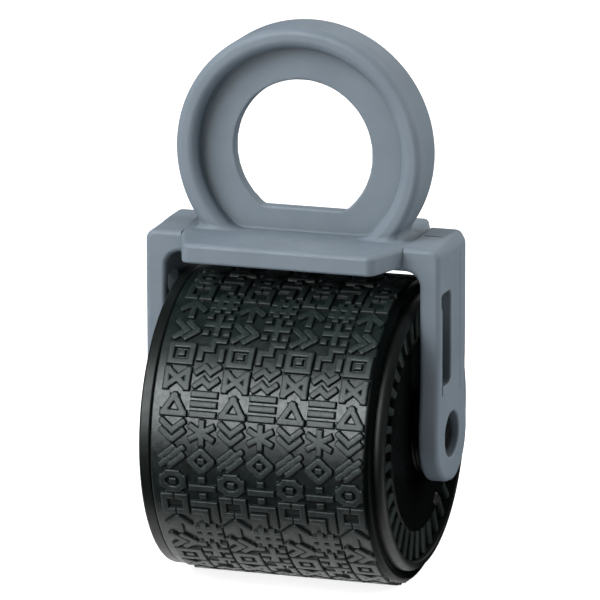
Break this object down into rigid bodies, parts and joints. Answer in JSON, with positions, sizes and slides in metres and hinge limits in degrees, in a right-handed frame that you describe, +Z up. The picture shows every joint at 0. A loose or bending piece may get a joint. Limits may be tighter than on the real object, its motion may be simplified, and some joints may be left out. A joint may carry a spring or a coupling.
{
  "type": "hand-held roller stamp",
  "caption": "Pre-inked rubber roller stamp in a moulded yoke with a finger ring; the roller turns on its axle as it is pushed over paper.",
  "frame": {"origin": "bottom centre of the object: midway between the arms, under the roller axis, at the roller's lowest line", "axes": "+X along the axle towards the right arm, -Y to the front, +Z up through the finger ring"},
  "size_m": [0.0476, 0.048, 0.087],
  "materials": {
    "grey_plastic": "fine satin moulding grain, slate blue-grey",
    "black_plastic": "smooth black moulding",
    "stamp_rubber": "porous dark rubber, damp with ink, with raised block glyphs",
    "seal_rubber": "smooth black elastomer",
    "ink_felt": "ink-soaked felt",
    "plug_plastic": "dark moulded plug"
  },
  "bodies": {
    "frame": {"yoke_frame": "grey_plastic", "ring_handle": "grey_plastic"},
    "roller": {"axle": "black_plastic", "drum_tube": "black_plastic", "felt_spool": "black_plastic", "ink_felt": "ink_felt", "stamp_sleeve": "stamp_rubber", "end_cap_left": "black_plastic", "end_cap_right": "black_plastic", "seal_ring_left": "seal_rubber", "seal_ring_right": "seal_rubber", "refill_plug": "plug_plastic"}
  },
  "joints": [
    {"name": "roller_spin", "type": "hinge", "parent": "frame", "child": "roller", "pos_m": [0, 0, 0.024], "axis": [1, 0, 0], "continuous": true}
  ]
}
